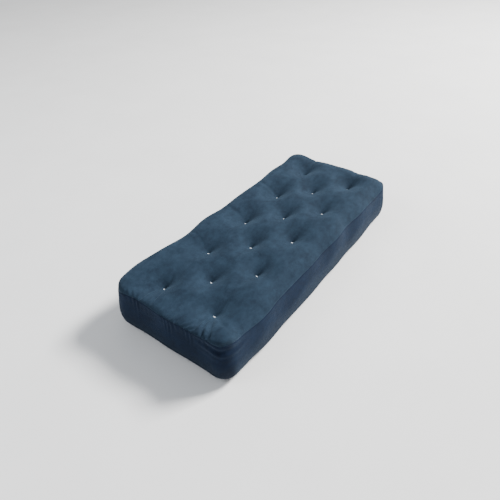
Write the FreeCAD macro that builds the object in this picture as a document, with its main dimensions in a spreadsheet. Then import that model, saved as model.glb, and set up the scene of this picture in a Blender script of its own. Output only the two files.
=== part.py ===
"""Tufted futon mattress: a sewn cloth case round a stack of batting and foam, tied through with twine.

Frame: +X across the mattress, +Y along it, +Z up. The origin is the centre of the underside.
All lengths are millimetres.

The case is a top panel and a bottom panel, each a shallow pan whose rolled rim meets the border, and a
border made of two strips. The filling is seven layers, alike above and below the middle layer. At each
tuft a loop of doubled twine draws both panels down into wells, and is knotted under the mattress.
"""

import FreeCAD
import Part
import math
import os
import Sketcher
from FreeCAD import Placement, Rotation, Vector

DIMENSIONS = {
    "case_width": 775,  # over the border, across
    "case_length": 1880,  # over the border, along
    "loft": 300,  # from the underside to the crown
    "corner_radius": 80,  # of the case in plan
    "rim_height": 35,  # from the crown, or the underside, to the seam
    "roll_radius": 33,  # of the panel's rolled rim
    "cloth": 1.5,
    "fill_gap": 1.5,  # between the border and the filling, where the seam thread lies
    "centre_thickness": 36,
    "foam_thickness": 62,
    "inner_batting_thickness": 34,
    "column_pitch": 362,  # between the two outer columns of tufts
    "row_pitch": 382,
    "outer_rows": 5,
    "inner_rows": 4,
    "well_mouth_radius": 112,
    "well_floor_radius": 17,
    "well_wall": 2.4,  # horizontal thickness of the cloth on the well's slope
    "well_clearance": 0.3,  # between that cloth and the batting
    "twine_radius": 1.3,
    "twine_offset": 1.4,  # of each strand from the middle of the pair
    "twine_bend": 2.5,
    "stitch_span": 18,  # between the two legs of a loop
    "leg_hole_radius": 3.2,
    "knot_radius": 3.3,
    "knot_length": 7,
    "knot_rounding": 1.2,
    "tail_bend": 10,
    "tail_turn": 120,  # degrees
    "seam_thread_radius": 0.6,
    "seam_thread_inset": 2.1,  # of the thread's centre from the case's outer face
}

# Heights above the mattress's middle plane, on its upper side.
CENTRE_TOP = "sheet.centre_thickness / 2"
FOAM_TOP = f"({CENTRE_TOP} + sheet.foam_thickness)"
INNER_BATTING_TOP = f"({FOAM_TOP} + sheet.inner_batting_thickness)"
CROWN = "sheet.loft / 2"
FILL_TOP = f"({CROWN} - sheet.cloth)"
SEAM = f"({CROWN} - sheet.rim_height)"
FILL_INSET = "(sheet.cloth + sheet.fill_gap)"

# Each column of tufts: where it stands across the mattress, and how many rows it has.
TUFT_COLUMNS = (
    ("-sheet.column_pitch / 2", "sheet.outer_rows"),
    ("0", "sheet.inner_rows"),
    ("sheet.column_pitch / 2", "sheet.outer_rows"),
)

doc = FreeCAD.newDocument("futon_mattress")


def make_sheet():
    """The spreadsheet that every body reads its sizes from."""
    sheet = doc.addObject("Spreadsheet::Sheet", "sheet")
    for row, (alias, value) in enumerate(DIMENSIONS.items(), start=1):
        sheet.set(f"A{row}", alias)
        sheet.set(f"B{row}", str(value))
        sheet.setAlias(f"B{row}", alias)
    doc.recompute()
    return sheet


def origin_feature(body, role):
    """One of the body's own origin planes or axes."""
    return next(o for o in body.Origin.OriginFeatures if o.Role == role)


def bind(target, expressions):
    """Binds each named property of target to its expression."""
    for name, expression in expressions.items():
        target.setExpression(name, expression)


def attach(body, target, plane, x="0", y="0", z="0"):
    """Puts target on one of the body's planes, offset by expressions along that plane's own axes."""
    target.AttachmentSupport = [(origin_feature(body, plane), "")]
    target.MapMode = "FlatFace"
    bind(target, {f"AttachmentOffset.Base.{a}": e for a, e in zip("xyz", (x, y, z))})


def new_body(label, x="0", y="0", flipped=False):
    """A body whose own origin lies on the mattress's middle plane. Flipped, it is built downwards."""
    body = doc.addObject("PartDesign::Body", label)
    body.Label = label
    turn = Rotation(Vector(1, 0, 0), 180) if flipped else Rotation()
    body.Placement = Placement(Vector(0, 0, 0), turn)
    bind(body, {"Placement.Base.x": x, "Placement.Base.y": y, "Placement.Base.z": CROWN})
    return body


def new_sketch(body, name, plane="XY_Plane", x="0", y="0", z="0"):
    sketch = body.newObject("Sketcher::SketchObject", name)
    attach(body, sketch, plane, x, y, z)
    return sketch


def size_by(sketch, sized):
    """Adds named dimensional constraints, each bound to its expression."""
    for name, (constraint, expression) in sized.items():
        index = sketch.addConstraint(constraint)
        sketch.renameConstraint(index, name)
        sketch.setExpression(f"Constraints.{name}", expression)


def rounded_rectangle(sketch, width, length, radius):
    """A fully constrained rounded rectangle about the sketch's origin."""
    half, rest, turn = 100, 60, 40  # a starting shape, which the constraints then size
    corners = ((rest, -rest), (rest, rest), (-rest, rest), (-rest, -rest))
    sides = (
        ((-rest, -half), (rest, -half)),
        ((half, -rest), (half, rest)),
        ((rest, half), (-rest, half)),
        ((-half, rest), (-half, -rest)),
    )
    for quarter, (side, corner) in enumerate(zip(sides, corners)):
        start, end = (Vector(*point, 0) for point in side)
        sketch.addGeometry(Part.LineSegment(start, end), False)
        circle = Part.Circle(Vector(*corner, 0), Vector(0, 0, 1), turn)
        first = math.radians(90 * quarter - 90)
        sketch.addGeometry(Part.ArcOfCircle(circle, first, first + math.pi / 2), False)
    for piece in range(8):
        sketch.addConstraint(Sketcher.Constraint("Tangent", piece, 2, (piece + 1) % 8, 1))
    for side, direction in ((0, "Horizontal"), (2, "Vertical"), (4, "Horizontal"), (6, "Vertical")):
        sketch.addConstraint(Sketcher.Constraint(direction, side))
    for corner in (3, 5, 7):
        sketch.addConstraint(Sketcher.Constraint("Equal", 1, corner))
    sketch.addConstraint(Sketcher.Constraint("Symmetric", 1, 3, 5, 3, -1, 1))
    sized = {
        "radius": (Sketcher.Constraint("Radius", 1, turn), radius),
        "width": (Sketcher.Constraint("DistanceX", 6, 1, 2, 1, 2 * half), width),
        "length": (Sketcher.Constraint("DistanceY", 0, 1, 4, 1, 2 * half), length),
    }
    size_by(sketch, sized)


def circles(sketch, centres, radius):
    """Circles of one bound radius, centred along the sketch's X axis at the given expressions."""
    for number, centre in enumerate(centres):
        start = Vector(20 * (number + 1), 0, 0)
        circle = sketch.addGeometry(Part.Circle(start, Vector(0, 0, 1), 1), False)
        sketch.addConstraint(Sketcher.Constraint("PointOnObject", circle, 3, -1))
        sized = {
            f"radius{number}": (Sketcher.Constraint("Radius", circle, 1), radius),
            f"centre{number}": (Sketcher.Constraint("DistanceX", -1, 1, circle, 3, start.x), centre),
        }
        size_by(sketch, sized)


def plan_sketch(body, name, inset, z="0"):
    """The case's plan, drawn in by inset."""
    sketch = new_sketch(body, name, z=z)
    rounded_rectangle(
        sketch,
        f"sheet.case_width - 2 * {inset}",
        f"sheet.case_length - 2 * {inset}",
        f"sheet.corner_radius - {inset}",
    )
    return sketch


def plan_pad(body, inset, low, high):
    """A slab of the case's plan, drawn in by inset, between two heights."""
    sketch = plan_sketch(body, "plan", inset, low)
    doc.recompute()
    pad = body.newObject("PartDesign::Pad", "slab")
    pad.Profile = sketch
    pad.setExpression("Length", f"{high} - {low}")
    doc.recompute()
    return pad


def roll_rim(body, pad, radius):
    """Rounds the pad's outer edge all the way round."""
    top = pad.Shape.BoundBox.ZMax
    on_top = [
        f"Edge{number}"
        for number, edge in enumerate(pad.Shape.Edges, start=1)
        if abs(edge.BoundBox.ZMin - top) < 1e-3
    ]
    rim = body.newObject("PartDesign::Fillet", "rolled_rim")
    rim.Base = (pad, on_top)
    rim.setExpression("Radius", radius)
    doc.recompute()
    return rim


def at_every_tuft(body, make):
    """Calls make(x, y) for the first tuft of each column, and repeats what it makes along the column."""
    for x, rows in TUFT_COLUMNS:
        first = make(x, f"-sheet.row_pitch * ({rows} - 1) / 2")
        pattern = body.newObject("PartDesign::LinearPattern", "column")
        pattern.Originals = [first]
        pattern.Mode = "Spacing"
        pattern.Direction = (origin_feature(body, "Y_Axis"), [""])
        bind(pattern, {"Offset": "sheet.row_pitch", "Occurrences": rows})
        body.Tip = pattern
        doc.recompute()


def cone_maker(body, kind, low, radius_low, radius_high):
    """A maker of cones that stand mouth upwards, from height low to the crown."""

    def make(x, y):
        cone = body.newObject(f"PartDesign::{kind}", kind.lower())
        attach(body, cone, "XY_Plane", x, y, low)
        bind(cone, {"Radius1": radius_low, "Radius2": radius_high, "Height": f"{CROWN} - {low}"})
        doc.recompute()
        return cone

    return make


def leg_hole_maker(body):
    """A maker of the pair of holes that the two legs of a twine loop pass through."""

    def make(x, y):
        sketch = new_sketch(body, "leg_holes", x=x, y=y)
        circles(sketch, ("sheet.stitch_span / 2", "-sheet.stitch_span / 2"), "sheet.leg_hole_radius")
        doc.recompute()
        pocket = body.newObject("PartDesign::Pocket", "leg_hole_pocket")
        pocket.Profile = sketch
        pocket.Type = "ThroughAll"
        pocket.Midplane = True
        doc.recompute()
        return pocket

    return make


def panel(label, flipped):
    """A cloth panel with its rolled rim, and a well at each tuft whose floor lies on the foam."""
    body = new_body(label, flipped=flipped)
    rim = roll_rim(body, plan_pad(body, "0", SEAM, CROWN), "sheet.roll_radius")
    low = rim.Shape.BoundBox.ZMin
    underside = next(
        f"Face{number}"
        for number, face in enumerate(rim.Shape.Faces, start=1)
        if face.BoundBox.ZMax < low + 1e-3
    )
    hollow = body.newObject("PartDesign::Thickness", "hollow")
    hollow.Base = (rim, [underside])
    hollow.Reversed = True
    hollow.setExpression("Value", "sheet.cloth")
    doc.recompute()
    outer_radii = ("sheet.well_floor_radius + sheet.well_wall", "sheet.well_mouth_radius + sheet.well_wall")
    at_every_tuft(body, cone_maker(body, "AdditiveCone", FOAM_TOP, *outer_radii))
    inner_radii = ("sheet.well_floor_radius", "sheet.well_mouth_radius")
    floor = f"({FOAM_TOP} + sheet.cloth)"
    at_every_tuft(body, cone_maker(body, "SubtractiveCone", floor, *inner_radii))
    at_every_tuft(body, leg_hole_maker(body))
    return body


def batting_round_wells(label, low, high, flipped, rolled=False):
    """A batting layer pierced by the wells."""
    body = new_body(label, flipped=flipped)
    pad = plan_pad(body, FILL_INSET, low, high)
    if rolled:
        roll_rim(body, pad, f"sheet.roll_radius - {FILL_INSET}")
    slack = "sheet.well_wall + sheet.well_clearance"
    radii = (f"sheet.well_floor_radius + {slack}", f"sheet.well_mouth_radius + {slack}")
    at_every_tuft(body, cone_maker(body, "SubtractiveCone", FOAM_TOP, *radii))
    return body


def layer_with_leg_holes(label, low, high, flipped=False):
    """A layer that only the twine passes through."""
    body = new_body(label, flipped=flipped)
    plan_pad(body, FILL_INSET, low, high)
    at_every_tuft(body, leg_hole_maker(body))
    return body


def cut_box(body, width, length, x, y):
    """Removes a box, centred on (x, y), over the whole height of the border."""
    box = body.newObject("PartDesign::SubtractiveBox", "beyond_strip")
    attach(body, box, "XY_Plane", f"{x} - {width} / 2", f"{y} - {length} / 2", f"-{SEAM}")
    bind(box, {"Length": width, "Width": length, "Height": f"2 * {SEAM}"})
    body.Tip = box
    doc.recompute()


def border_strip(label, half_turned):
    """Half of the border: one end, its two corners and one long side. The other half is turned round."""
    body = new_body(label)
    if half_turned:
        body.Placement = Placement(body.Placement.Base, Rotation(Vector(0, 0, 1), 180))
        bind(body, {"Placement.Base.z": CROWN})
    plan_pad(body, "0", f"-{SEAM}", SEAM)
    inner = plan_sketch(body, "inner_plan", "sheet.cloth")
    doc.recompute()
    pocket = body.newObject("PartDesign::Pocket", "inside")
    pocket.Profile = inner
    pocket.Type = "ThroughAll"
    pocket.Midplane = True
    doc.recompute()
    straight = "(sheet.case_length - 2 * sheet.corner_radius)"
    far_end = f"({straight} / 2 + sheet.corner_radius / 2)"
    cut_box(body, "sheet.case_width", "sheet.corner_radius", "0", far_end)
    cut_box(body, "sheet.case_width / 2", straight, "-sheet.case_width / 4", "0")
    return body


def pipe(body, spine, profile):
    """A round section carried along a spine sketch."""
    tube = body.newObject("PartDesign::AdditivePipe", "tube")
    tube.Profile = profile
    tube.Spine = (spine, [])
    tube.Mode = "Frenet"
    doc.recompute()
    return tube


def seam_thread(label, flipped):
    """The thread that joins a panel to the border, lying against the inside of the seam."""
    body = new_body(label, flipped=flipped)
    spine = plan_sketch(body, "seam_line", "sheet.seam_thread_inset", SEAM)
    section = new_sketch(body, "section", "XZ_Plane", y=SEAM)
    circles(section, ("sheet.case_width / 2 - sheet.seam_thread_inset",), "sheet.seam_thread_radius")
    doc.recompute()
    pipe(body, spine, section)
    return body


def border_thread():
    """The two upright threads that join the border strips, one solid each."""
    body = new_body("border_seam_thread")
    across = "(sheet.case_width / 2 - sheet.seam_thread_inset)"
    along = "(sheet.case_length / 2 - sheet.corner_radius)"
    reach = f"({SEAM} - 3 * sheet.seam_thread_radius)"
    for side in ("", "-"):
        thread = body.newObject("PartDesign::AdditiveCylinder", "upright_thread")
        attach(body, thread, "XY_Plane", f"{side}{across}", f"{side}{along}", f"-{reach}")
        bind(thread, {"Radius": "sheet.seam_thread_radius", "Height": f"2 * {reach}"})
        doc.recompute()
    return body


def twine_loop(label, x, y):
    """Two strands of twine side by side, each a closed loop over both panels' well floors."""
    body = new_body(label, x, y)
    spine = new_sketch(body, "loop", "XZ_Plane", z="sheet.twine_offset")
    bar_height = f"({FOAM_TOP} + sheet.cloth + sheet.twine_radius)"
    rounded_rectangle(spine, "sheet.stitch_span", f"2 * {bar_height}", "sheet.twine_bend")
    section = new_sketch(body, "section", "XY_Plane", y="-sheet.twine_offset")
    circles(section, ("sheet.stitch_span / 2",), "sheet.twine_radius")
    doc.recompute()
    strand = pipe(body, spine, section)
    pair = body.newObject("PartDesign::Mirrored", "pair")
    pair.Originals = [strand]
    pair.MirrorPlane = (origin_feature(body, "XZ_Plane"), [""])
    body.Tip = pair
    doc.recompute()
    return body


def tail_sketch(body, z):
    """An arc that leaves the knot along X and curls away to one side."""
    sketch = new_sketch(body, "tail_line", z=z)
    bend = 10  # a starting shape, which the constraints then size
    circle = Part.Circle(Vector(0, bend, 0), Vector(0, 0, 1), bend)
    arc = sketch.addGeometry(Part.ArcOfCircle(circle, -math.pi / 2, math.pi / 6), False)
    sketch.addConstraint(Sketcher.Constraint("Coincident", arc, 1, -1, 1))
    sketch.addConstraint(Sketcher.Constraint("PointOnObject", arc, 3, -2))
    sized = {
        "bend": (Sketcher.Constraint("Radius", arc, bend), "sheet.tail_bend"),
        "turn": (Sketcher.Constraint("Angle", arc, 2.0), "sheet.tail_turn * 1 deg"),
    }
    size_by(sketch, sized)
    return sketch


def tuft_knot(label, x, y):
    """The knot under a tuft, a small barrel of twine, and the two cut ends that leave it."""
    body = new_body(label, x, y, flipped=True)
    height = f"({FOAM_TOP} + sheet.cloth + 2 * sheet.twine_radius + sheet.knot_radius)"
    barrel = body.newObject("PartDesign::AdditiveCylinder", "barrel")
    attach(body, barrel, "YZ_Plane", y=height, z="-sheet.knot_length / 2")
    bind(barrel, {"Radius": "sheet.knot_radius", "Height": "sheet.knot_length"})
    doc.recompute()
    rims = [f"Edge{number}" for number, edge in enumerate(barrel.Shape.Edges, start=1) if edge.isClosed()]
    rounding = body.newObject("PartDesign::Fillet", "rounding")
    rounding.Base = (barrel, rims)
    rounding.setExpression("Radius", "sheet.knot_rounding")
    doc.recompute()
    line = tail_sketch(body, height)
    section = new_sketch(body, "tail_section", "YZ_Plane", y=height)
    circles(section, ("0",), "sheet.twine_radius")
    doc.recompute()
    tail = pipe(body, line, section)
    both = body.newObject("PartDesign::PolarPattern", "both_tails")
    both.Originals = [tail]
    both.Axis = (origin_feature(body, "Z_Axis"), [""])
    both.Occurrences = 2
    body.Tip = both
    doc.recompute()
    return body


def tuft_places(sheet):
    """(x, y) expressions of every tuft, column by column from the foot end."""
    for x, rows in TUFT_COLUMNS:
        for row in range(int(getattr(sheet, rows.removeprefix("sheet.")))):
            yield x, f"sheet.row_pitch * ({row} - ({rows} - 1) / 2)"


def build():
    """Makes every sub-part and returns the bodies."""
    sheet = make_sheet()
    bodies = [layer_with_leg_holes("centre_batting", f"-{CENTRE_TOP}", CENTRE_TOP)]
    for side, flipped in (("upper", False), ("lower", True)):
        foam = layer_with_leg_holes(f"{side}_foam_slab", CENTRE_TOP, FOAM_TOP, flipped)
        inner = batting_round_wells(f"{side}_inner_batting", FOAM_TOP, INNER_BATTING_TOP, flipped)
        outer = batting_round_wells(
            f"{side}_outer_batting", INNER_BATTING_TOP, FILL_TOP, flipped, rolled=True
        )
        bodies += [foam, inner, outer]
    for side, flipped in (("top", False), ("bottom", True)):
        bodies += [panel(f"{side}_panel", flipped), seam_thread(f"{side}_seam_thread", flipped)]
    bodies += [border_strip("foot_border_strip", False), border_strip("head_border_strip", True)]
    bodies.append(border_thread())
    for number, (x, y) in enumerate(tuft_places(sheet), start=1):
        bodies += [twine_loop(f"tuft_twine_{number:02d}", x, y), tuft_knot(f"tuft_knot_{number:02d}", x, y)]
    return bodies


def check_and_write(bodies):
    """Stops if any object failed or any sub-part isn't a valid solid, then writes the STEP files."""
    doc.recompute()
    for item in doc.Objects:
        if {"Invalid", "Error"} & set(item.State):
            raise RuntimeError(f"{item.Label} failed: {item.State}")
    os.makedirs("parts", exist_ok=True)
    for body in bodies:
        shape = body.Shape
        if shape.isNull() or not shape.isValid() or not shape.Solids:
            raise RuntimeError(f"{body.Label} is not a valid solid")
        box = shape.BoundBox
        print(f"{body.Label:24s} {len(shape.Solids):3d} solid(s) {shape.Volume / 1e3:12.2f} cm3"
              f"  z {box.ZMin:7.2f} to {box.ZMax:7.2f}")
        shape.exportStep(os.path.join("parts", body.Label + ".step"))


check_and_write(build())
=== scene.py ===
"""The looks of a tufted futon mattress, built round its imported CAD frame.

Frame: +X across the mattress, +Y along it, +Z up, in metres. The origin is the centre of the underside. The
left side is at -X. The foot end, which is the near one, is at -Y, and the head end at +Y.
"""

import math

import bpy
import numpy as np
from mathutils import Matrix, Vector


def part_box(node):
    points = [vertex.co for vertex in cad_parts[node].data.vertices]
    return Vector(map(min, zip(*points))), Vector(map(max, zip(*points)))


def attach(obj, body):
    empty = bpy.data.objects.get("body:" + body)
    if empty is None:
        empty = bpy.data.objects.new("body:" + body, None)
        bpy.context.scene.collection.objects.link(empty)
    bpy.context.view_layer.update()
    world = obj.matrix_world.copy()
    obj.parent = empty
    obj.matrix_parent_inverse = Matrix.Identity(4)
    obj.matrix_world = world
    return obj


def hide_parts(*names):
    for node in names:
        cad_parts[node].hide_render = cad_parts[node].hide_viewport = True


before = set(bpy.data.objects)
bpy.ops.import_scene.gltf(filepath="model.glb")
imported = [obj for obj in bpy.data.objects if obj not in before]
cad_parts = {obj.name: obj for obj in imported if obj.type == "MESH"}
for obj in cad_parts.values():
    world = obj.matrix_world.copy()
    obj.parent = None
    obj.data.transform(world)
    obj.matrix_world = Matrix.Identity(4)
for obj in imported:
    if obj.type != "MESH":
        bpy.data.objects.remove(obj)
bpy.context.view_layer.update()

SEED = 7
HALF_W = 0.3875
HALF_L = 0.940
CORNER = 0.080
CROWN = 0.300
SEAM_TOP = 0.265
SEAM_LOW = 0.035
COLUMN_PITCH = 0.362
ROW_PITCH = 0.382
BORDER_HEIGHT = SEAM_TOP - SEAM_LOW
TUFT_TOP = 0.2312  # where the cover lies under the twine
TUFT_LOW = 0.0688
FOAM_TOP = 0.230
FOAM_LOW = 0.070
CENTRE_LOW = 0.132  # the faces of the middle batting
CENTRE_TOP = 0.168
CLOTH = 0.0015

# The visual model has to stay within 3% of a side plus 10 mm of the CAD box, and in width the settled cloth
# would pass that. So beyond each start it is eased back, to never swell by more than the room.
SWELL_START = 0.408
SWELL_ROOM = 0.0115
CREST_START = 0.308
CREST_ROOM = 0.009

# For the same margin, the pillow shape flattens off above CAP_FROM, towards CAP_MIDDLE plus CAP_ROOM.
CAP_FROM = 0.306
CAP_MIDDLE = 0.307
CAP_ROOM = 0.0105

# How far the filling stays inside the cover, in plan, above and below, and the least depth of batting that is
# left between a foam slab and the cover.
FILL_INSET = 0.013
GAP_ABOVE = 0.003
GAP_BELOW = 0.004
THIN_BATTING = 0.008
INNER_SHARE_ABOVE = 39 / 75.5  # of the depth of the two upper battings, how much is the inner one
OUTER_SHARE_BELOW = 36.5 / 75.5  # of the depth of the two lower battings, how much is the outer one

TWINE_RADIUS = 0.0013
STRAND_OFFSET = 0.0014  # of each strand from the middle of the pair
PLIES = 3
PLY_RADIUS = 0.00095
PLY_OVERLAP = 1.08  # how much thicker a ply is drawn, so that plies leave no gap
PLY_PITCH = 0.0085
STITCH_DROP = 0.006  # how deep a stitch's ends go into the cloth
THREAD_RADIUS = 0.0006
THREAD_INSET = 0.0024

# Cells of the finest grid: round each corner, along the straights of the width and the length, and up
# the border.
CORNER_CELLS = 12
WIDE_CELLS = 136
LONG_CELLS = 232
BORDER_CELLS = 40

# A panel is settled on three grids in turn, with cells this many times the finest, for so many rounds each.
PANEL_STEPS = (4, 2, 1)
PANEL_ROUNDS = (500, 350, 260)

# A border strip is settled twice over, for so many rounds each time.
BORDER_ROUNDS = 150

rng = np.random.default_rng(SEED)


def tufts():
    """The plan position of every tuft."""
    outer = [(s * COLUMN_PITCH / 2, (i - 2) * ROW_PITCH) for s in (-1, 1) for i in range(5)]
    return np.array(outer + [(0.0, (i - 1.5) * ROW_PITCH) for i in range(4)])


TUFTS = tufts()


# ---------------------------------------------------------------- grids

def axis_nodes(half, middle_cells, step):
    """Node positions along one side of the plan, with a node where each corner begins."""
    corner = np.linspace(0, CORNER, CORNER_CELLS // step + 1)
    middle = np.linspace(-half + CORNER, half - CORNER, middle_cells // step + 1)
    return np.concatenate([-half + corner[:-1], middle, half - CORNER + corner[1:]])


def plan_grid(step):
    """Plan positions of the panel's grid, whose outline is a rounded rectangle."""
    x, y = np.meshgrid(
        axis_nodes(HALF_W, WIDE_CELLS, step), axis_nodes(HALF_L, LONG_CELLS, step), indexing="ij"
    )
    a = np.clip((np.abs(x) - HALF_W + CORNER) / CORNER, 0, 1)
    b = np.clip((np.abs(y) - HALF_L + CORNER) / CORNER, 0, 1)
    inner_x, inner_y = np.abs(x) - a * CORNER, np.abs(y) - b * CORNER
    px = np.sign(x) * (inner_x + CORNER * a * np.sqrt(1 - b * b / 2))
    py = np.sign(y) * (inner_y + CORNER * b * np.sqrt(1 - a * a / 2))
    return np.stack([px, py], -1)


def edge_distance(p):
    """How far each plan point lies inside the rounded outline."""
    qx = np.abs(p[..., 0]) - (HALF_W - CORNER)
    qy = np.abs(p[..., 1]) - (HALF_L - CORNER)
    outside = np.hypot(np.maximum(qx, 0), np.maximum(qy, 0)) + np.minimum(np.maximum(qx, qy), 0)
    return np.maximum(CORNER - outside, 0)


def outward_of(p):
    """The plan direction that points out of the rounded outline."""
    qx = np.maximum(np.abs(p[..., 0]) - (HALF_W - CORNER), 0) * np.sign(p[..., 0])
    qy = np.maximum(np.abs(p[..., 1]) - (HALF_L - CORNER), 0) * np.sign(p[..., 1])
    length = np.maximum(np.hypot(qx, qy), 1e-6)
    return qx / length, qy / length


def smooth(t):
    """Rises from 0 to 1 as t does, with level ends."""
    t = np.clip(t, 0, 1)
    return t * t * (3 - 2 * t)


def near_row(y):
    """1 beside a row of outer tufts, 0 half-way between two rows."""
    return 0.5 + 0.5 * np.cos(2 * math.pi * y / ROW_PITCH)


# ---------------------------------------------------------------- the pillow shape

def dimple(p, reach_x, reach_y):
    """How strongly the tufts draw the surface in, from 1 at a tuft to 0 far from all of them."""
    total = np.zeros(p.shape[:-1])
    for tx, ty in TUFTS:
        dx, dy = p[..., 0] - tx, p[..., 1] - ty
        r = np.hypot(dx / reach_x, dy / reach_y)
        # A broad cone with a rounded rim, a narrow pit at its middle, and a valley along the column.
        cone = np.maximum(1 - np.sqrt(r * r + 0.0016), 0) ** 1.55
        pit = np.exp(-np.hypot(dx, dy) / 0.020)
        across, along = np.exp(-np.abs(dx) / 0.026), np.exp(-np.abs(dy) / 0.120)
        valley = (0.14 + 0.10 * (dy > 0)) * across * along * (1 - cone)
        total = total + 0.88 * cone + 0.20 * pit + valley
    return np.minimum(total, 1.0)


def crease(p, route, width, depth):
    """A fold pressed in along a route, with a soft swell on each side of it."""
    best = np.full(p.shape[:-1], 9.0)
    along = np.zeros(p.shape[:-1])
    count = len(route) - 1
    for k in range(count):
        a, b = np.array(route[k]), np.array(route[k + 1])
        t = np.clip(((p - a) @ (b - a)) / ((b - a) @ (b - a)), 0, 1)
        d = np.linalg.norm(p - a - t[..., None] * (b - a), axis=-1)
        nearer = d < best
        best = np.where(nearer, d, best)
        along = np.where(nearer, (k + t) / count, along)
    fade = smooth(along / 0.12) * smooth((1 - along) / 0.12)
    r = best / width
    return depth * fade * (1.5 * r * r - 1) * np.exp(-r * r)


# Folds of the top panel: the route of each in plan, its width and its depth.
FOLDS = (
    (((-0.181, -0.780), (-0.190, -0.822), (-0.187, -0.868), (-0.180, -0.930)), 0.011, 0.013),
    (((0.184, -0.785), (0.196, -0.844), (0.228, -0.897), (0.258, -0.940)), 0.010, 0.021),
    (((0.200, -0.785), (0.232, -0.842), (0.272, -0.893), (0.300, -0.938)), 0.013, 0.024),
    (((0.170, -0.790), (0.170, -0.850), (0.186, -0.905), (0.200, -0.935)), 0.009, 0.010),
    (((0.215, -0.775), (0.272, -0.812), (0.330, -0.838), (0.372, -0.850)), 0.014, 0.010),
    (((-0.194, -0.775), (-0.228, -0.786), (-0.256, -0.820), (-0.270, -0.866)), 0.010, 0.014),
    (((-0.160, -0.780), (-0.128, -0.830), (-0.108, -0.880), (-0.100, -0.930)), 0.010, 0.006),
    (((0.000, -0.590), (0.004, -0.640), (0.012, -0.700), (0.010, -0.745)), 0.012, 0.007),
    (((0.181, -0.745), (0.184, -0.700), (0.178, -0.640), (0.186, -0.590)), 0.013, 0.007),
    (((-0.181, -0.745), (-0.176, -0.690), (-0.186, -0.640), (-0.180, -0.600)), 0.012, 0.006),
    (((-0.205, -0.380), (-0.262, -0.352), (-0.318, -0.340), (-0.366, -0.352)), 0.018, 0.004),
    (((-0.205, 0.004), (-0.262, 0.022), (-0.322, 0.020), (-0.372, 0.034)), 0.018, 0.003),
    (((-0.200, 0.382), (-0.250, 0.400), (-0.312, 0.396), (-0.352, 0.410)), 0.020, 0.004),
    (((0.185, 0.785), (0.196, 0.850), (0.215, 0.900), (0.228, 0.930)), 0.011, 0.006),
    (((-0.181, 0.785), (-0.170, 0.850), (-0.182, 0.900), (-0.192, 0.930)), 0.011, 0.006),
)


def pleats(x, end):
    """The rise and fall of cloth eased in along an end seam; end is -1 at the foot and 1 at the head."""
    phase = 2 * math.pi * x / 0.030 + 2.6 * np.sin(9 * x + 0.5 * end) + 1.6 * np.sin(31 * x)
    strength = 0.52 + 0.48 * np.sin(14.5 * x + 0.9 + end + 1.2 * np.sin(37 * x))
    return np.sin(phase) * strength * (0.85 + 0.45 * smooth((x + 0.1) / 0.4))


def gathers(p):
    """Small pleats square to the two end seams."""
    x, end = p[..., 0], np.sign(p[..., 1])
    inside = HALF_L - np.abs(p[..., 1])
    fan = x * (1 - 0.35 * smooth(inside / 0.12)) + 0.004 * np.sin(61 * x + end)
    reach = 0.055 + 0.028 * np.sin(31 * fan + 2)
    fade = np.exp(-((inside / reach) ** 2)) * smooth(inside / 0.006)
    return 0.0105 * (0.65 - 0.35 * end) * pleats(fan, end) * fade * smooth((HALF_W - np.abs(x)) / 0.05)


def seam_line(p, top):
    """Moves points of the outline to where the seam runs, which is further in beside a row than between."""
    x, y = p[..., 0], p[..., 1]
    side = smooth((np.abs(x) - 0.28) / 0.1)
    end = smooth((np.abs(y) - 0.86) / 0.08)
    draw = near_row(y) * (1 - end)
    calm = 1.0 if top else 0.25

    # The long sides wander, and swell at the near left and towards the head end. The upper seam is drawn in,
    # most beside the rows, and the lower one is let out.
    shift = 0 if top else 2.0
    wander = 0.003 * np.sin(9.1 * y + 1.3 * np.sign(x) + shift) + 0.002 * np.sin(23 * y + x * 9)
    bulge = 0.015 * np.exp(-(((y + 0.78) / 0.15) ** 2)) * smooth(-x / 0.2)
    drawn = (0.005 + 0.006 * smooth(x / 0.2)) if top else 0.004
    let_out = -0.001 if top else 0.009 + 0.012 * smooth(x / 0.2) * smooth((0.80 - np.abs(y)) / 0.3)
    far = smooth((y - 0.70) / 0.15)
    bulge = bulge + 0.012 * far * smooth(-x / 0.2)
    dx = -np.sign(x) * side * (drawn * draw - let_out)
    dx = dx + side * wander - side * bulge + 0.006 * far * side * (x > 0)

    # The ends are drawn in beside the two outer columns, and the head end stands further out.
    across = 0.5 + 0.5 * np.cos(2 * math.pi * x / COLUMN_PITCH + math.pi)
    dy = -np.sign(y) * end * (0.006 * (across - 0.35) * (1 - side)) * calm
    dy = dy + end * 0.003 * np.sin(13 * x + 2.1 * np.sign(y)) * calm
    dy = dy + 0.022 * smooth((y - 0.86) / 0.08) - (0 if top else 0.004) * smooth((-0.86 - y) / 0.08)

    height = SEAM_TOP if top else SEAM_LOW
    drop = 0.006 * draw * side + calm * (0.003 * np.sin(7.3 * y + 11 * x) + 0.0018 * np.sin(21 * x - 17 * y))
    z = height + (-drop if top else 0.5 * drop)

    # At the foot end the top seam rides up, and along the right side it sags.
    foot = smooth((-0.86 - y) / 0.07) * smooth((x + 0.36) / 0.06)
    right = smooth((x - 0.30) / 0.07)
    if top:
        dy = dy - 0.010 * foot
        dx = dx + 0.011 * right * smooth((y + 0.93) / 0.1)
        sag = 0.022 * right * smooth((y + 0.90) / 0.25) * smooth((0.97 - y) / 0.15)
        z = z + 0.024 * foot * (1 - right) - sag
    else:
        # Below, the right side lies lower, and the near right corner is drawn in.
        z = z - 0.008 * smooth(x / 0.2) * smooth((y + 0.86) / 0.1)
        dx = dx - 0.008 * side * smooth(x / 0.2) * smooth((-0.78 - y) / 0.1)
    return x + dx, y + dy, z


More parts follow.
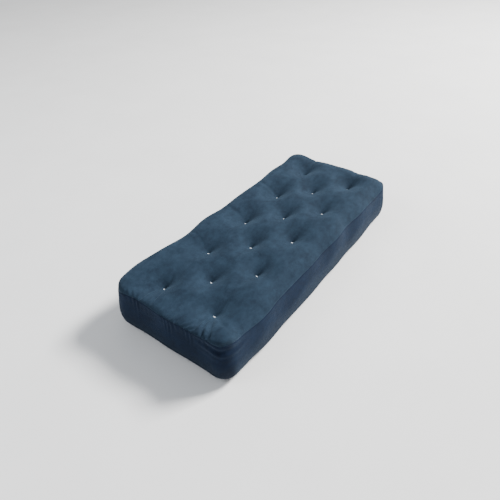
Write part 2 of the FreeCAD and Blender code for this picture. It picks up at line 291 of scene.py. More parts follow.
def panel_target(p, top):
    """The smooth pillow surface of a panel over plan points p."""
    x, y, z = seam_line(p, top)
    d = edge_distance(p)
    draw = near_row(p[..., 1])
    foot = smooth((-0.80 - p[..., 1]) / 0.06)
    left_end = smooth((-0.30 - p[..., 0]) / 0.05)

    # The edge rolls over within reach of the seam, more squarely as power grows.
    reach = 0.085 + 0.02 * (1 - draw) - 0.035 * foot * (1 - left_end) if top else 0.060
    rounded = smooth((0.30 - p[..., 0]) / 0.1)
    right = smooth((p[..., 0] - 0.20) / 0.1)
    if top:
        reach = reach + 0.030 * right * (1 - foot)
    t = np.clip(d / reach, 0, 1)
    power = 2.4 + 0.7 * np.maximum(rounded, 2.0 * smooth((p[..., 1] - 0.86) / 0.06)) - 0.2 * foot
    power = power + 1.4 * smooth((-0.2 - p[..., 0]) / 0.1)
    power = power + 2.0 * smooth((-0.25 - p[..., 0]) / 0.1) * smooth((-0.40 - p[..., 1]) / 0.2)
    roll = 1 - (1 - t) ** power

    # The filling is a little uneven.
    lump = (
        0.0035 * np.sin(11.0 * p[..., 0] + 5.3 * p[..., 1] + 0.7)
        + 0.003 * np.sin(8.0 * p[..., 0] - 9.1 * p[..., 1] + 2.2)
        + 0.002 * np.sin(19.0 * p[..., 0] + 14.0 * p[..., 1] + 4.0)
    )

    if top:
        pull = dimple(p, 0.140, 0.185)
        flank = smooth((np.abs(p[..., 0]) - 0.2) / 0.12)
        left = smooth(-p[..., 0] / 0.2)
        shoulder = np.exp(-(((p[..., 0] + 0.36) / 0.13) ** 2) - ((p[..., 1] + 0.76) / 0.15) ** 2)
        ear = np.exp(-((np.hypot(p[..., 0] - 0.335, p[..., 1] + 0.885) / 0.062) ** 2))
        # The crown sinks beside the rows along the sides, and rises at the left and the head end.
        crown = CROWN + 0.006 + lump - (0.007 - 0.003 * left) * draw * flank
        crown = crown + 0.004 * (1 - draw) * flank * left
        crown = crown + 0.005 * left * flank + 0.006 * smooth((p[..., 1] - 0.80) / 0.08)
        height = z + (crown - z) * roll
        height = height + (TUFT_TOP - height) * pull
        height = height + 0.020 * ear + gathers(p)
        for route, width, depth in FOLDS:
            height = height + crease(p, route, width, depth)
        # The edges swell outwards, least on the right and most at the near left, and the near right corner
        # puffs out.
        swell = 0.012 * rounded * np.sin(math.pi * np.clip(d / 0.075, 0, 1)) * (1 - 0.6 * draw)
        swell = swell + 0.022 * shoulder * smooth(1 - d / 0.2)
        swell = swell + 0.002 * (1 - np.exp(-d / 0.008)) * np.exp(-d / 0.030)
        height = height + 0.010 * shoulder * (1 - pull)
        capped = CAP_MIDDLE + CAP_ROOM * np.tanh((height - CAP_MIDDLE) / CAP_ROOM)
        height = np.where(height > CAP_FROM, capped, height)
        nx, ny = outward_of(p)
        puff = 0.019 * ear * smooth(d / 0.02)
        return np.stack([x + nx * (swell + puff), y + ny * (swell + puff), height], -1)
    # The floor of each well lies flat, so that the knot and its tails rest on the cloth.
    nearest = np.min([np.hypot(p[..., 0] - tx, p[..., 1] - ty) for tx, ty in TUFTS], axis=0)
    flat_floor = smooth((0.036 - nearest) / 0.014)
    pull = np.maximum(dimple(p, 0.115, 0.125), flat_floor)
    height = z * (1 - roll)
    height = height + (TUFT_LOW + 0.006 - height) * pull - 0.006 * smooth(roll) + 0.3 * (lump + 0.004)
    return np.stack([x, y, np.maximum(height, 0.0)], -1)


def normals(p, outward):
    """Unit normals of a grid of points, turned towards outward."""
    du = np.gradient(p, axis=0)
    dv = np.gradient(p, axis=1)
    n = np.cross(du, dv)
    n /= np.maximum(np.linalg.norm(n, axis=-1, keepdims=True), 1e-12)
    return n * np.sign((n * outward).sum(-1, keepdims=True) + 1e-9)


# ---------------------------------------------------------------- the cloth

def pair_slices(shape, di, dj):
    """Slices of grid points joined by one offset, in groups in which no point appears twice."""
    n, m = shape
    groups = []
    if di:
        lo, hi = max(0, -dj), m - max(0, dj)
        step = 2 * di
        for c in range(step):
            a = np.arange(c, n - di, step)
            if len(a):
                first = slice(int(a[0]), int(a[-1]) + 1, step)
                second = slice(int(a[0]) + di, int(a[-1]) + di + 1, step)
                groups.append(((first, slice(lo, hi)), (second, slice(lo + dj, hi + dj))))
    else:
        step = 2 * dj
        for c in range(step):
            a = np.arange(c, m - dj, step)
            if len(a):
                first = slice(int(a[0]), int(a[-1]) + 1, step)
                second = slice(int(a[0]) + dj, int(a[-1]) + dj + 1, step)
                groups.append(((slice(None), first), (slice(None), second)))
    return groups


def relax(p, target, normal, plan, fullness, free, rounds, push, pull, bend, crush):
    """Settles cloth on a soft base.

    Threads keep their lengths, which are the plan's times the local fullness along each axis. A link that is
    too short is corrected only by the share crush. The base moves cloth that lies inside the target out by
    the share push, and cloth outside it in by the share pull. Points whose free is 0 stay where they are.
    """
    # Threads both ways, then shear, then folding, whose strength is given point by point.
    threads = [((1, 0), 1.0), ((0, 1), 1.0), ((1, 1), 0.5), ((1, -1), 0.5)]
    families = threads + [((2, 0), None), ((0, 2), None)]
    links = []
    for (di, dj), stiff in families:
        for a, b in pair_slices(p.shape[:2], di, dj):
            rest = np.linalg.norm((plan[a] - plan[b]) * (fullness[a] + fullness[b]) / 2, axis=-1)
            strength = bend[a] if stiff is None else stiff
            share = strength / np.maximum(free[a] + free[b], 1e-9)
            links.append((a, b, rest, free[a] * share, free[b] * share))
    for _ in range(rounds):
        for a, b, rest, wa, wb in links:
            d = p[b] - p[a]
            length = np.sqrt((d * d).sum(-1))
            off = (length - rest) / np.maximum(length, 1e-9)
            off = np.where(off < 0, off * crush, off)
            p[a] += (wa * off)[..., None] * d
            p[b] -= (wb * off)[..., None] * d
        depth = ((p - target) * normal).sum(-1)
        move = -depth * np.where(depth < 0, push, pull) * free
        p += move[..., None] * normal
    return p


def finer(a):
    """A grid with twice the cells, its new points midway between old ones."""
    b = np.zeros((a.shape[0] * 2 - 1,) + a.shape[1:])
    b[::2] = a
    b[1::2] = (a[:-1] + a[1:]) / 2
    c = np.zeros((b.shape[0], b.shape[1] * 2 - 1) + b.shape[2:])
    c[:, ::2] = b
    c[:, 1::2] = (b[:, :-1] + b[:, 1:]) / 2
    return c


def soften(p, free, share, rounds):
    """Evens out the grid a little, leaving its held points."""
    for _ in range(rounds):
        mid = p.copy()
        mid[1:-1, 1:-1] = (p[:-2, 1:-1] + p[2:, 1:-1] + p[1:-1, :-2] + p[1:-1, 2:]) / 4
        p = p + (mid - p) * (share * free)[..., None]
    return p


def within_case(p):
    """Eases the cloth back, to either side and upwards, to stay within the margin round the CAD box."""
    q = p.copy()
    over = np.maximum(np.abs(p[..., 0]) - SWELL_START, 0)
    q[..., 0] -= np.sign(p[..., 0]) * (over - SWELL_ROOM * np.tanh(over / SWELL_ROOM))
    over = np.maximum(p[..., 2] - CREST_START, 0)
    q[..., 2] -= over - CREST_ROOM * np.tanh(over / CREST_ROOM)
    return q


def ripple(shape, amount, passes):
    """Random heights evened out over a few cells."""
    r = rng.standard_normal(shape)
    for _ in range(passes):
        r[1:-1] = (r[:-2] + 2 * r[1:-1] + r[2:]) / 4
        r[:, 1:-1] = (r[:, :-2] + 2 * r[:, 1:-1] + r[:, 2:]) / 4
    return amount * r / r.std()


def make_panel(top):
    """The settled surface of a panel, on the finest grid."""
    cloth = None
    for level, step in enumerate(PANEL_STEPS):
        plan = plan_grid(step)
        target = panel_target(plan, top)
        normal = normals(target, np.array([0, 0, 1.0 if top else -1.0]))
        free = np.ones(plan.shape[:2])
        free[0], free[-1], free[:, 0], free[:, -1] = 0, 0, 0, 0
        # The stitch holds the top panel, and the knot with its tails holds more of the bottom one.
        pinned_x, pinned_y = (0.014, 0.009) if top else (0.020, 0.020)
        for tx, ty in TUFTS:
            r = np.hypot((plan[..., 0] - tx) / pinned_x, (plan[..., 1] - ty) / pinned_y)
            held = r < 1
            if not held.any():
                held = r <= r.min() + 1e-9
            free[held] = 0
        # The panel is cut a little large, and more is gathered in along the ends and at the near right.
        end = np.exp(-(HALF_L - np.abs(plan[..., 1])) / 0.048)
        near_corner = np.exp(-((np.hypot(plan[..., 0] - 0.25, plan[..., 1] + 0.86) / 0.09) ** 2))
        side = np.exp(-(HALF_W - np.abs(plan[..., 0])) / 0.06)
        bend = 0.20 * (1 - 0.85 * end) * (1 - 0.6 * near_corner)
        end = end * (1 - 0.75 * (plan[..., 1] > 0))
        full_x = 1.040 + 0.30 * end + 0.22 * near_corner
        fullness = np.stack([full_x, 1.024 + 0.006 * side + 0.02 * near_corner], -1)
        if cloth is None:
            cloth = target.copy()
        else:
            cloth = finer(cloth)
        cloth += (ripple(plan.shape[:2], 0.0012 / (level + 1), 2) * free)[..., None] * normal
        held = free == 0
        cloth[held] = target[held]
        rounds = PANEL_ROUNDS[level]
        cloth = relax(
            cloth, target, normal, plan, fullness, free, rounds, push=0.10, pull=0.020, bend=bend, crush=0.65
        )
    cloth = within_case(soften(cloth, free, 0.5, 2))
    if not top:
        cloth[..., 2] = np.maximum(cloth[..., 2], 0.0)
    return cloth


def outline(grid):
    """The grid's edge points in order, as two halves, each of one end with its corners and one long side."""
    n, m = grid.shape[:2]
    c = CORNER_CELLS
    left = [(0, j) for j in range(c, 0, -1)]
    foot = [(i, 0) for i in range(n - 1)]
    right = [(n - 1, j) for j in range(m - c)]
    first = left + foot + right
    second = [(n - 1 - i, m - 1 - j) for i, j in first]
    return first, second


# Each tuck of the border under the near right corner: its height over the lower seam, its width and how far
# it stands out.
TUCKS = ((0.204, 0.011, -0.016), (0.184, 0.010, 0.005), (0.166, 0.008, -0.005), (0.135, 0.012, -0.003))


def make_border(seam_top, seam_low, which):
    """A border strip between its two seams: which is 0 for the foot strip and 1 for the head strip."""
    length = len(seam_top)
    t = np.linspace(0, 1, BORDER_CELLS + 1)  # 0 at the lower seam, 1 at the upper
    a, b = seam_low, seam_top
    mid = (a + b) / 2
    along = np.gradient(mid, axis=0)
    out = np.stack([along[:, 1], -along[:, 0], np.zeros(length)], -1)
    out /= np.linalg.norm(out, axis=-1, keepdims=True)
    s = np.concatenate([[0], np.cumsum(np.linalg.norm(np.diff(mid, axis=0), axis=1))])
    belly = 0.012 + 0.009 * smooth((mid[:, 0] - 0.30) / 0.06)
    belly = belly + 0.0016 * np.sin(s * 7.1 + 1.1 + which) + 0.0012 * np.sin(s * 17.3 + 2.0 * which)
    shoulder = np.exp(-(((mid[:, 1] + 0.80) / 0.2) ** 2)) * smooth(-mid[:, 0] / 0.3)
    # The strip bulges out between its seams, furthest along the right side and most fully at the near left.
    power = 0.38 + 0.40 * smooth(t / 0.7)[None] * (1 - 0.75 * shoulder[:, None])
    bulge = np.maximum(np.sin(math.pi * t**0.72), 0)[None] ** power
    lean = 0.003 * np.sin(2 * math.pi * t)
    target = a[:, None] + (b - a)[:, None] * t[None, :, None]
    target = target + out[:, None] * ((belly + 0.005 * shoulder)[:, None] * bulge + lean[None])[..., None]
    if which == 0:
        # Tucks that run round the corner under the puffed ear of the top panel.
        ear = np.exp(-((np.hypot(mid[:, 0] - 0.345, mid[:, 1] + 0.895) / 0.085) ** 2))
        rise = t[None] * BORDER_HEIGHT + 0.010 * np.sin(9 * s)[:, None]
        tucks = sum(proud * np.exp(-(((rise - at) / width) ** 2)) for at, width, proud in TUCKS)
        target = target + out[:, None] * (ear[:, None] * tucks)[..., None]
    # Pleats hang from the upper seam along the end.
    end = 2 * which - 1
    below = (1 - t) * BORDER_HEIGHT
    on_end = smooth((np.abs(mid[:, 1]) - 0.90) / 0.03)
    off_corner = smooth((0.36 - np.abs(mid[:, 0])) / 0.05)
    gathered = 0.0040 * pleats(mid[:, 0], end) * on_end * off_corner
    reach = 0.045 + 0.025 * np.sin(33 * mid[:, 0] + 1)
    fade = np.exp(-((below / reach[:, None]) ** 2)) * smooth(below / 0.010)
    target = target + out[:, None] * (gathered[:, None] * fade)[..., None]
    normal = normals(target, out[:, None])
    tall = np.linalg.norm(b - a, axis=-1)
    plan = np.stack([np.broadcast_to(s[:, None], target.shape[:2]), tall[:, None] * t], -1)
    fullness = np.broadcast_to((1.022, 1.035), plan.shape)
    free = np.ones(target.shape[:2])
    free[0], free[-1], free[:, 0], free[:, -1] = 0, 0, 0, 0
    bend = np.full(target.shape[:2], 0.12)
    cloth = target.copy()
    rounds = BORDER_ROUNDS
    for passes in (6, 2):
        cloth += (ripple(target.shape[:2], 0.0012, passes) * free)[..., None] * normal
        cloth = relax(
            cloth, target, normal, plan, fullness, free, rounds, push=0.08, pull=0.02, bend=bend, crush=0.7
        )
    cloth = soften(cloth, free, 0.5, 2)
    cloth[:, 1:-1] = within_case(cloth[:, 1:-1])
    return cloth


# ---------------------------------------------------------------- meshes

def make_object(name, points, faces):
    """A smooth-shaded mesh object in the scene."""
    mesh = bpy.data.meshes.new(name)
    mesh.from_pydata([tuple(v) for v in points], [], faces)
    mesh.update()
    obj = bpy.data.objects.new(name, mesh)
    bpy.context.scene.collection.objects.link(obj)
    for polygon in mesh.polygons:
        polygon.use_smooth = True
    return obj


def grid_faces(n, m, start=0, flip=False):
    """The quads of an n by m grid of points, whose first point has the index start."""
    faces = []
    for i in range(n - 1):
        for j in range(m - 1):
            a = start + i * m + j
            quad = (a, a + m, a + m + 1, a + 1)
            faces.append(quad[::-1] if flip else quad)
    return faces


def cloth_object(name, grid, flip):
    """A sheet of cloth whose outer face is the grid."""
    n, m = grid.shape[:2]
    obj = make_object(name, grid.reshape(-1, 3), grid_faces(n, m, flip=flip))
    solid = obj.modifiers.new("thickness", "SOLIDIFY")
    solid.thickness = CLOTH
    solid.offset = -1
    return obj


def layer_object(name, low, high):
    """A closed filling layer between two grids."""
    n, m = low.shape[:2]
    count = n * m
    faces = grid_faces(n, m, flip=True) + grid_faces(n, m, start=count)
    ring = (
        [(i, 0) for i in range(n)]
        + [(n - 1, j) for j in range(1, m)]
        + [(i, m - 1) for i in range(n - 2, -1, -1)]
        + [(0, j) for j in range(m - 2, 0, -1)]
    )
    index = [i * m + j for i, j in ring]
    for a, b in zip(index, index[1:] + index[:1]):
        faces.append((a, b, b + count, a + count))
    return make_object(name, np.concatenate([low.reshape(-1, 3), high.reshape(-1, 3)]), faces)


# ---------------------------------------------------------------- materials

class Shader:
    """A small helper for building one node material."""

    def __init__(self, name):
        self.material = bpy.data.materials.new(name)
        self.material.use_nodes = True
        self.nodes = self.material.node_tree.nodes
        self.links = self.material.node_tree.links
        self.bsdf = next(n for n in self.nodes if n.type == "BSDF_PRINCIPLED")
        self.place = self.add("ShaderNodeTexCoord").outputs["Object"]

    def add(self, kind, inputs=None, **settings):
        """A new node; each input is a value or another node's output."""
        node = self.nodes.new(kind)
        for key, value in settings.items():
            setattr(node, key, value)
        for key, value in (inputs or {}).items():
            if isinstance(value, bpy.types.NodeSocket):
                self.links.new(value, node.inputs[key])
            else:
                node.inputs[key].default_value = value
        return node

    def noise(self, scale, detail=3.0, rough=0.55, stretch=(1, 1, 1)):
        """Noise over the object's own coordinates."""
        mapped = self.add("ShaderNodeMapping", {"Vector": self.place, "Scale": stretch}).outputs[0]
        inputs = {"Vector": mapped, "Scale": scale, "Detail": detail, "Roughness": rough}
        return self.add("ShaderNodeTexNoise", inputs).outputs[0]

    def ramp(self, value, stops):
        """Colours blended from stop to stop as value rises."""
        node = self.add("ShaderNodeValToRGB", {"Fac": value})
        ramp = node.color_ramp
        while len(ramp.elements) < len(stops):
            ramp.elements.new(0.5)
        for element, (at, colour) in zip(ramp.elements, stops):
            element.position = at
            element.color = (*colour, 1)
        return node.outputs[0]

    def blend_two(self, first, second, share):
        """The sum of two values, the first weighted by share and the second by the rest."""
        return self.math("ADD", self.math("MULTIPLY", first, share), self.math("MULTIPLY", second, 1 - share))

    def mix(self, share, a, b, blend="MIX"):
        """Two colours blended by share."""
        node = self.add("ShaderNodeMix", data_type="RGBA", blend_type=blend)
        for key, value in ((0, share), (6, a), (7, b)):
            if isinstance(value, bpy.types.NodeSocket):
                self.links.new(value, node.inputs[key])
            else:
                node.inputs[key].default_value = value if key == 0 else (*value, 1)
        return node.outputs[2]

    def math(self, operation, a, b=0.0):
        """One arithmetic operation on two values."""
        node = self.add("ShaderNodeMath", {0: a, 1: b}, operation=operation)
        return node.outputs[0]

    def bump(self, height, strength, distance, normal=None):
        """Relief from height, over an earlier relief if one is given."""
        inputs = {"Height": height, "Strength": strength, "Distance": distance}
        if normal is not None:
            inputs["Normal"] = normal
        return self.add("ShaderNodeBump", inputs).outputs[0]

    def finish(self, colour, roughness, normal, sheen=0.0):
        """Connects the shader and returns the material."""
        self.links.new(colour, self.bsdf.inputs["Base Color"])
        if isinstance(roughness, bpy.types.NodeSocket):
            self.links.new(roughness, self.bsdf.inputs["Roughness"])
        else:
            self.bsdf.inputs["Roughness"].default_value = roughness
        self.links.new(normal, self.bsdf.inputs["Normal"])
        self.bsdf.inputs["Sheen Weight"].default_value = sheen
        self.bsdf.inputs["Sheen Roughness"].default_value = 0.5
        self.bsdf.inputs["Specular IOR Level"].default_value = 0.12
        return self.material


def cover_material(name, dark, light, shade_at_floor=1.0):
    """Brushed twill: a cloudy, mottled nap over a fine diagonal weave, with painted shade that darkens it
    towards the floor when the last argument is below 1.
    """
    s = Shader(name)
    cloudy = s.noise(7.0, 4.0, 0.6)
    nap = s.noise(27.0, 6.0, 0.70, (1, 0.7, 1))
    fine = s.noise(240.0, 3.0, 0.6)
    tone = s.math("ADD", s.math("MULTIPLY", cloudy, 0.35), s.math("MULTIPLY", nap, 0.43))
    tone = s.math("ADD", tone, s.math("MULTIPLY", fine, 0.22))
    colour = s.ramp(tone, ((0.38, dark), (0.62, light)))
    # Painted shade: below 1, the colour darkens towards the floor, standing in for the shade on the lower
    # part of the sides.
    if shade_at_floor < 1:
        height = s.add("ShaderNodeSeparateXYZ", {0: s.place}).outputs["Z"]
        rise = s.add(
            "ShaderNodeMapRange",
            {"Value": height, "From Min": 0.0, "From Max": 0.20, "To Min": shade_at_floor, "To Max": 1.0},
            interpolation_type="SMOOTHSTEP",
        ).outputs[0]
        painted_shade = s.add("ShaderNodeCombineColor", {0: rise, 1: rise, 2: rise}).outputs[0]
        colour = s.mix(1.0, colour, painted_shade, "MULTIPLY")
    turned = s.add("ShaderNodeMapping", {"Vector": s.place, "Rotation": (0.6, 0.5, 0.785)}).outputs[0]
    wave = s.add(
        "ShaderNodeTexWave",
        {"Vector": turned, "Scale": 190.0, "Distortion": 1.2, "Detail": 2.0, "Detail Scale": 2.0},
        wave_type="BANDS",
    ).outputs["Fac"]
    fibre = s.noise(1500.0, 2.0, 0.6)
    normal = s.bump(wave, 0.25, 0.0006)
    normal = s.bump(fibre, 0.35, 0.0005, normal)
    normal = s.bump(nap, 0.15, 0.0015, normal)
    roughness = s.math("ADD", s.math("MULTIPLY", nap, 0.15), 0.80)
    s.bsdf.inputs["Sheen Tint"].default_value = (0.45, 0.70, 1.0, 1)
    return s.finish(colour, roughness, normal, sheen=0.06)


def batting_material(name, dark, light):
    """Felted cotton: soft lumps under fibres that lie along the mattress."""
    s = Shader(name)
    lump = s.noise(30.0, 5.0, 0.65)
    fibre = s.noise(420.0, 4.0, 0.7, (1, 0.25, 1))
    colour = s.ramp(s.blend_two(lump, fibre, 0.6), ((0.35, dark), (0.65, light)))
    normal = s.bump(lump, 0.5, 0.004)
    normal = s.bump(fibre, 0.6, 0.0012, normal)
    return s.finish(colour, 0.95, normal, sheen=0.3)


def foam_material(name, dark, light):
    """Open-cell foam: fine pits over a faint cloudiness."""
    s = Shader(name)
    cell = s.add("ShaderNodeTexVoronoi", {"Vector": s.place, "Scale": 700.0}).outputs["Distance"]
    cloudy = s.noise(12.0, 3.0, 0.5)
    colour = s.ramp(s.blend_two(cell, cloudy, 0.4), ((0.3, dark), (0.7, light)))
    normal = s.bump(cell, 0.6, 0.0009)
    return s.finish(colour, 0.9, normal)


def twine_material(name, dark, light, scale=900.0):
    """Twisted twine or thread: slanting bands with fine fibres."""
    s = Shader(name)
    turned = s.add("ShaderNodeMapping", {"Vector": s.place, "Rotation": (0.0, 0.9, 0.7)}).outputs[0]
    ply = s.add(
        "ShaderNodeTexWave",
        {"Vector": turned, "Scale": scale / 3, "Distortion": 0.8, "Detail": 2.0},
        wave_type="BANDS",
    ).outputs["Fac"]
    fibre = s.noise(scale * 2, 3.0, 0.6)
    colour = s.ramp(s.blend_two(ply, fibre, 0.6), ((0.25, dark), (0.7, light)))
    normal = s.bump(ply, 0.7, 0.0006)
    normal = s.bump(fibre, 0.4, 0.0003, normal)
    return s.finish(colour, 0.75, normal, sheen=0.1)


COVER = cover_material("slate_twill", (0.0058, 0.0128, 0.0245), (0.0180, 0.0345, 0.0570))
BATTING = batting_material("cotton_batting", (0.62, 0.58, 0.50), (0.86, 0.84, 0.78))
FOAM = foam_material("open_cell_foam", (0.72, 0.63, 0.42), (0.90, 0.84, 0.66))
TWINE = twine_material("white_twine", (0.76, 0.81, 0.86), (0.92, 0.96, 1.0))
THREAD = twine_material("seam_thread", (0.02, 0.035, 0.06), (0.05, 0.08, 0.12), 2400.0)

# The border and the bottom panel take a darker copy of the cover cloth, painted shade for faces that turn
# away from the light, and painted shade that darkens it towards the floor.
BORDER = cover_material("slate_twill_border_painted_shade", (0.0017, 0.0050, 0.0152), (0.0056, 0.0130, 0.0325), 0.38)


def dress(obj, material):
    """Gives an object one material all over."""
    obj.data.materials.clear()
    obj.data.materials.append(material)


# ---------------------------------------------------------------- the mattress

top = make_panel(True)
low = make_panel(False)
first, second = outline(top)


def cover_piece(name, grid, flip, node, material=COVER):
    """A settled sheet of the case, in place of its CAD node."""
    piece = cloth_object(name, grid, flip)
    dress(piece, material)
    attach(piece, "root")
    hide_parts(node)


cover_piece("cover_top", top, False, "top_panel")
cover_piece("cover_bottom", low, True, "bottom_panel", BORDER)

strips = []
for number, (name, node, ring) in enumerate(
    (("border_foot", "foot_border_strip", first), ("border_head", "head_border_strip", second))
):
    edge_top = np.array([top[i, j] for i, j in ring])
    edge_low = np.array([low[i, j] for i, j in ring])
    strip = make_border(edge_top, edge_low, number)
    strips.append(strip)
    cover_piece(name, strip, False, node, BORDER)


def lowest_near(z, reach=2):
    """The lowest height within a few cells of each grid point."""
    padded = np.pad(z, reach, mode="edge")
    n, m = z.shape
    spans = range(2 * reach + 1)
    return np.min([padded[i : i + n, j : j + m] for i in spans for j in spans], axis=0)


def filling():
    """The boundaries of the seven filling layers, as grids from the lowest up."""
    every = 2
    keep = np.array([1 - FILL_INSET / HALF_W, 1 - FILL_INSET / HALF_L])
    plan_top = top[::every, ::every, :2] * keep
    plan_low = low[::every, ::every, :2] * keep
    high = lowest_near(top[..., 2])[::every, ::every] - GAP_ABOVE
    floor = -lowest_near(-low[..., 2], 4)[::every, ::every] + GAP_BELOW
    foam_top = np.minimum(FOAM_TOP, high - THIN_BATTING)
    foam_low = np.maximum(FOAM_LOW, floor + THIN_BATTING)
    heights = [
        floor,
        floor + (foam_low - floor) * OUTER_SHARE_BELOW,
        foam_low,
        np.full(high.shape, CENTRE_LOW),
        np.full(high.shape, CENTRE_TOP),
        foam_top,
        foam_top + (high - foam_top) * INNER_SHARE_ABOVE,
        high,
    ]
    levels = []
    for z in heights:
        share = np.clip((z - SEAM_LOW) / (SEAM_TOP - SEAM_LOW), 0, 1)[..., None]
        plan = plan_low + (plan_top - plan_low) * share
        levels.append(np.concatenate([plan, z[..., None]], -1))
    return levels


# Each filling layer from the lowest up: the CAD node, the material, its slot and the share of fill.
LAYERS = (
    ("lower_outer_batting", BATTING, "cotton_batting", 0.9),
    ("lower_inner_batting", BATTING, "cotton_batting", 0.9),
    ("lower_foam_slab", FOAM, "foam", 1.0),
    ("centre_batting", BATTING, "cotton_batting", 0.9),
    ("upper_foam_slab", FOAM, "foam", 1.0),
    ("upper_inner_batting", BATTING, "cotton_batting", 0.8),
    ("upper_outer_batting", BATTING, "cotton_batting", 0.8),
)
levels = filling()
for number, (node, material, slot, fill) in enumerate(LAYERS):
    piece = layer_object("layer_" + node, levels[number], levels[number + 1])
    dress(piece, material)
    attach(piece, "root")
    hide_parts(node)


# ---------------------------------------------------------------- twine and thread

def tube(path, radius, closed=False, sides=6):
    """The points and faces of a round tube along a path."""
    if closed:
        ahead = np.roll(path, -1, axis=0) - np.roll(path, 1, axis=0)
    else:
        ahead = np.gradient(path, axis=0)
    ahead /= np.linalg.norm(ahead, axis=1, keepdims=True)
    steep = np.abs(ahead[:, 2]).max() > 0.95
    side = np.cross(ahead, (0.0, 1.0, 0.0) if steep else (0.0, 0.0, 1.0))
    side /= np.linalg.norm(side, axis=1, keepdims=True)
    rise = np.cross(side, ahead)
    turn = np.arange(sides) * 2 * math.pi / sides
    ring = np.cos(turn)[:, None] * side[:, None] + np.sin(turn)[:, None] * rise[:, None]
    points = (path[:, None] + radius * ring).reshape(-1, 3)
    count = len(path)
    faces = []
    for i in range(count if closed else count - 1):
        here, there = i * sides, (i + 1) % count * sides
        for k in range(sides):
            after = (k + 1) % sides
            faces.append((here + k, here + after, there + after, there + k))
    if not closed:
        faces.append(tuple(range(sides))[::-1])
        faces.append(tuple(range((count - 1) * sides, count * sides)))
    return points, faces


def tubes_object(name, tubes):
    """One object of several tubes."""
    points, faces, start = [], [], 0
    for tube_points, tube_faces in tubes:
        points.append(tube_points)
        faces += [tuple(v + start for v in face) for face in tube_faces]
        start += len(tube_points)
    return make_object(name, np.concatenate(points), faces)


def stitch_line(span, drop, count=44):
    """A stitch from the side: up out of the cloth, across it and down again, with its distance along."""
    turn = np.linspace(0, math.pi, count)
    x = -span / 2 * np.sign(np.cos(turn)) * np.abs(np.cos(turn)) ** 0.6
    z = drop * (np.sin(turn).clip(0) ** 0.35 - 1)
    line = np.stack([x, np.zeros(count), z], -1)
    steps = np.linalg.norm(np.diff(line, axis=0), axis=1)
    return line, np.concatenate([[0], np.cumsum(steps)])


def twisted_stitches(twine):
    """The plies of a tuft's two strands where they show, over the top panel and under the bottom one."""
    low, high = (np.array(corner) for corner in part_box(twine))
    middle = (low + high) / 2
    line, along = stitch_line(high[0] - low[0] - 2 * TWINE_RADIUS, STITCH_DROP)
    tubes = []
    for upward, face in ((1, high[2] - TWINE_RADIUS), (-1, low[2] + TWINE_RADIUS)):
        for strand in (-1, 1):
            base = line * (1, 1, upward) + (middle[0], middle[1] + strand * STRAND_OFFSET, face)
            for ply in range(PLIES):
                turn = strand * 2 * math.pi * (along / PLY_PITCH + ply / PLIES)
                wound = base + PLY_RADIUS * np.stack([0 * turn, np.cos(turn), np.sin(turn)], -1)
                tubes.append(tube(wound, PLY_RADIUS * PLY_OVERLAP))
    return tubes


for name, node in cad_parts.items():
    if name.startswith("tuft_"):
        dress(node, TWINE)
    if name.startswith("tuft_twine"):
        stitches = tubes_object(name.replace("tuft_twine", "stitch"), twisted_stitches(name))
        dress(stitches, TWINE)
        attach(stitches, "root")


def inset(points):
    """Points of a seam, moved in to where its thread runs inside the fold."""
    scale = np.array([1 - THREAD_INSET / HALF_W, 1 - THREAD_INSET / HALF_L, 1])
    return points * scale


def thread_piece(node, tubes):
    """Seam thread along the settled seams, in place of its CAD node."""
    piece = tubes_object("thread_" + node.replace("_seam_thread", ""), tubes)
    dress(piece, THREAD)
    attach(piece, "root")
    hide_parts(node)


round_the_case = first[:-1] + second[:-1]
for node, grid in (("top_seam_thread", top), ("bottom_seam_thread", low)):
    seam = inset(np.array([grid[i, j] for i, j in round_the_case]))
    thread_piece(node, [tube(seam, THREAD_RADIUS, closed=True)])
thread_piece("border_seam_thread", [tube(inset(strip[0]), THREAD_RADIUS) for strip in strips])


# ---------------------------------------------------------------- floor, light and camera

LIGHT_AIM = (0, 0, 0.2)
FLOOR_HALF = 12.0
FLOOR_Z = -0.0005  # just under the mattress, so that the two don't coincide

world = bpy.data.worlds.new("studio")
world.use_nodes = True
background = world.node_tree.nodes["Background"]
background.inputs["Color"].default_value = (0.93, 0.96, 1.0, 1)
background.inputs["Strength"].default_value = 0.50
bpy.context.scene.world = world

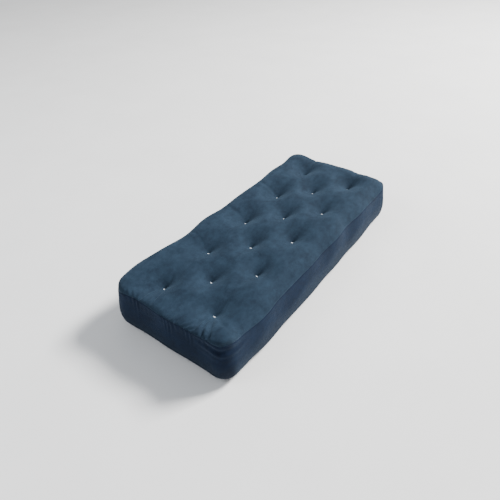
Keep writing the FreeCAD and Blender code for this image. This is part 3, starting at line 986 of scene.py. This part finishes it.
corners = ((-1, -1), (1, -1), (1, 1), (-1, 1))
floor = make_object("floor", [(x * FLOOR_HALF, y * FLOOR_HALF, FLOOR_Z) for x, y in corners], [(0, 1, 2, 3)])
shade = Shader("pale_floor")
pale = shade.ramp(shade.noise(1.5), ((0.3, (0.86, 0.86, 0.86)), (0.7, (0.90, 0.90, 0.90))))
dress(floor, shade.finish(pale, 0.8, shade.bump(shade.noise(60.0), 0.05, 0.001)))


def area_light(name, place, size, power, colour):
    """A square soft light that faces the mattress."""
    data = bpy.data.lights.new(name, "AREA")
    data.shape = "SQUARE"
    data.size = size
    data.energy = power
    data.color = colour
    lamp = bpy.data.objects.new(name, data)
    lamp.location = place
    lamp.rotation_euler = (Vector(LIGHT_AIM) - Vector(place)).to_track_quat("-Z", "Y").to_euler()
    bpy.context.scene.collection.objects.link(lamp)


area_light("key", (4.9, 8.2, 8.9), 3.4, 4700, (1.0, 0.99, 0.97))
area_light("fill", (-3.0, -4.2, 4.6), 3.0, 150, (0.9, 0.95, 1.0))

# The view: turned and tilted about a point in the mattress, with a little roll.
YAW = math.radians(-36.898)
PITCH = math.radians(38.832)
ROLL = math.radians(-1.421)
DISTANCE = 2.9342
SIDEWAYS = 0.1166
UPWARDS = 0.1092
AIM_HEIGHT = 0.233
LENS = 32.76


def view_camera():
    """Makes the camera and sets it as the scene's."""
    forward = Vector((math.sin(YAW) * math.cos(PITCH), math.cos(YAW) * math.cos(PITCH), -math.sin(PITCH)))
    level = Vector((math.cos(YAW), -math.sin(YAW), 0))
    rise = level.cross(forward)
    right = level * math.cos(ROLL) + rise * math.sin(ROLL)
    up = rise * math.cos(ROLL) - level * math.sin(ROLL)
    place = Vector((0, 0, AIM_HEIGHT)) - forward * DISTANCE - right * SIDEWAYS - up * UPWARDS
    data = bpy.data.cameras.new("view")
    data.sensor_width = 36
    data.lens = LENS
    camera = bpy.data.objects.new("view", data)
    turn = Matrix((right, up, -forward)).transposed().to_4x4()
    camera.matrix_world = Matrix.Translation(place) @ turn
    bpy.context.scene.collection.objects.link(camera)
    bpy.context.scene.camera = camera


view_camera()
